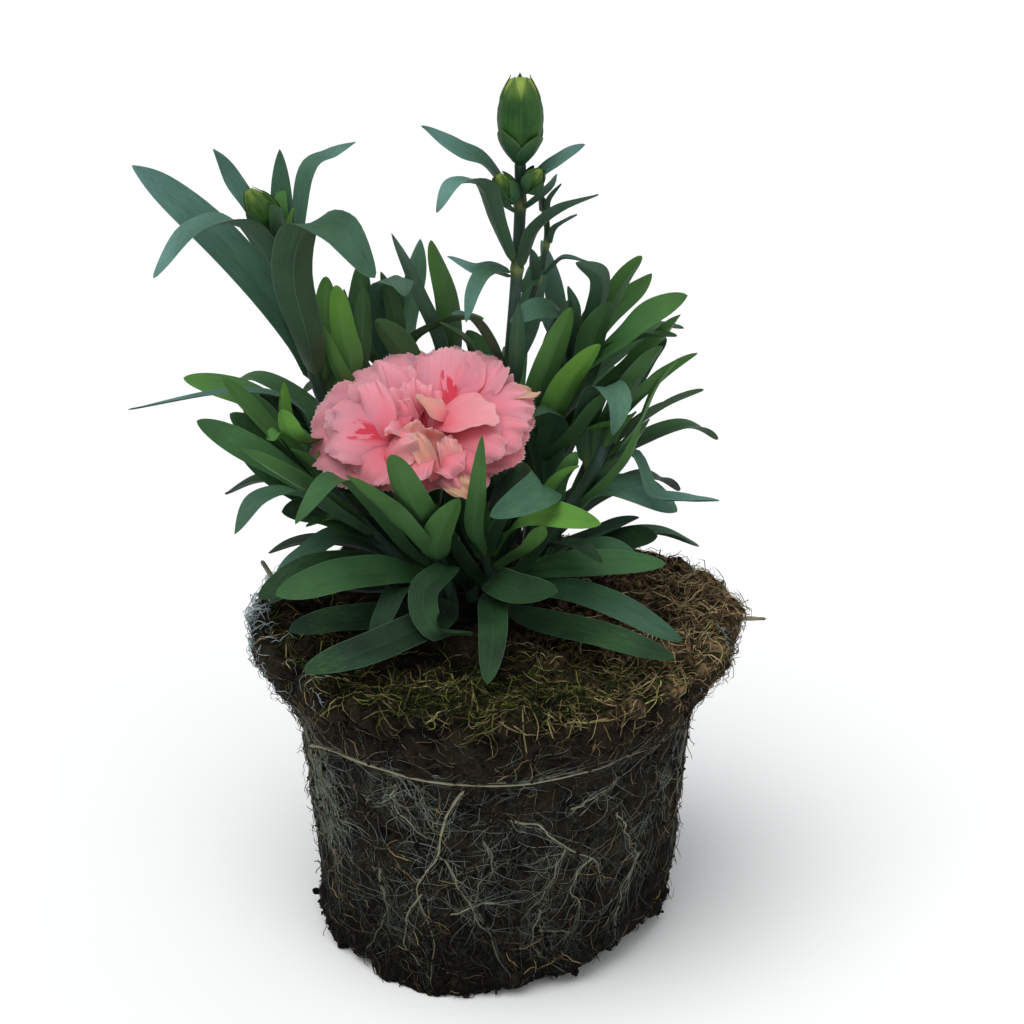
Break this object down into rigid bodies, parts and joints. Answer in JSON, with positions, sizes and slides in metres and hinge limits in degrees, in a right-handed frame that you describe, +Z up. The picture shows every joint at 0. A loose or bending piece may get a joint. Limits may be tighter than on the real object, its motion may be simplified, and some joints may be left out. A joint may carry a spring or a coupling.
{
  "type": "dianthus plant",
  "caption": "Young pot carnation lifted out of its pot: tapered bare root ball, clump of strap-shaped leaves, an open ruffled pink double flower and a closed bud on the tallest stem.",
  "frame": {"origin": "centre of the root ball's flat underside, where the plant rests", "axes": "+Z up through the crown to the bud, -Y towards the side where the open flower nods, +X to the right seen from that side"},
  "size_m": [0.1335, 0.1076, 0.1964],
  "materials": {
    "soil": "damp fibrous peat with pale fine roots and moss, fully rough",
    "stem": "smooth green stem with a grey-blue wax bloom",
    "leaf": "waxy matte green leaf with a blue-grey bloom and a faint channel along its middle",
    "bud": "smooth green calyx with fine lengthwise streaks, yellow-green at its tips",
    "petal": "thin matte salmon-pink petal, paler at its toothed edge and coral towards the throat"
  },
  "bodies": {
    "root": {"root_ball": "soil", "main_stem": "stem", "side_stem": "stem", "flower_stem": "stem", "left_shoot": "stem", "left_low_shoot": "stem", "front_left_shoot": "stem", "front_shoot": "stem", "right_shoot": "stem", "back_right_shoot": "stem", "back_left_shoot": "stem", "left_shoot_leaf_1": "leaf", "left_shoot_leaf_2": "leaf", "left_shoot_leaf_3": "leaf", "left_shoot_leaf_4": "leaf", "left_shoot_leaf_5": "leaf", "left_shoot_leaf_6": "leaf", "left_low_shoot_leaf_1": "leaf", "left_low_shoot_leaf_2": "leaf", "left_low_shoot_leaf_3": "leaf", "left_low_shoot_leaf_4": "leaf", "left_low_shoot_leaf_5": "leaf", "left_low_shoot_leaf_6": "leaf", "left_low_shoot_leaf_7": "leaf", "front_left_shoot_leaf_1": "leaf", "front_left_shoot_leaf_2": "leaf", "front_left_shoot_leaf_3": "leaf", "front_left_shoot_leaf_4": "leaf", "front_left_shoot_leaf_5": "leaf", "front_left_shoot_leaf_6": "leaf", "front_left_shoot_leaf_7": "leaf", "front_shoot_leaf_1": "leaf", "front_shoot_leaf_2": "leaf", "front_shoot_leaf_3": "leaf", "front_shoot_leaf_4": "leaf", "front_shoot_leaf_5": "leaf", "front_shoot_leaf_6": "leaf", "front_shoot_leaf_7": "leaf", "front_shoot_leaf_8": "leaf", "front_shoot_leaf_9": "leaf", "right_shoot_leaf_1": "leaf", "right_shoot_leaf_2": "leaf", "right_shoot_leaf_3": "leaf", "right_shoot_leaf_4": "leaf", "back_right_shoot_leaf_1": "leaf", "back_right_shoot_leaf_2": "leaf", "back_right_shoot_leaf_3": "leaf", "main_stem_leaf_1": "leaf", "main_stem_leaf_2": "leaf", "main_stem_leaf_3": "leaf", "main_stem_leaf_4": "leaf", "flower_calyx": "bud", "outer_petals": "petal", "middle_petals": "petal", "inner_petals": "petal", "main_bud": "bud", "bud_scales": "bud", "left_side_bud": "bud", "right_side_bud": "bud", "left_shoot_bud": "bud"}
  },
  "joints": []
}
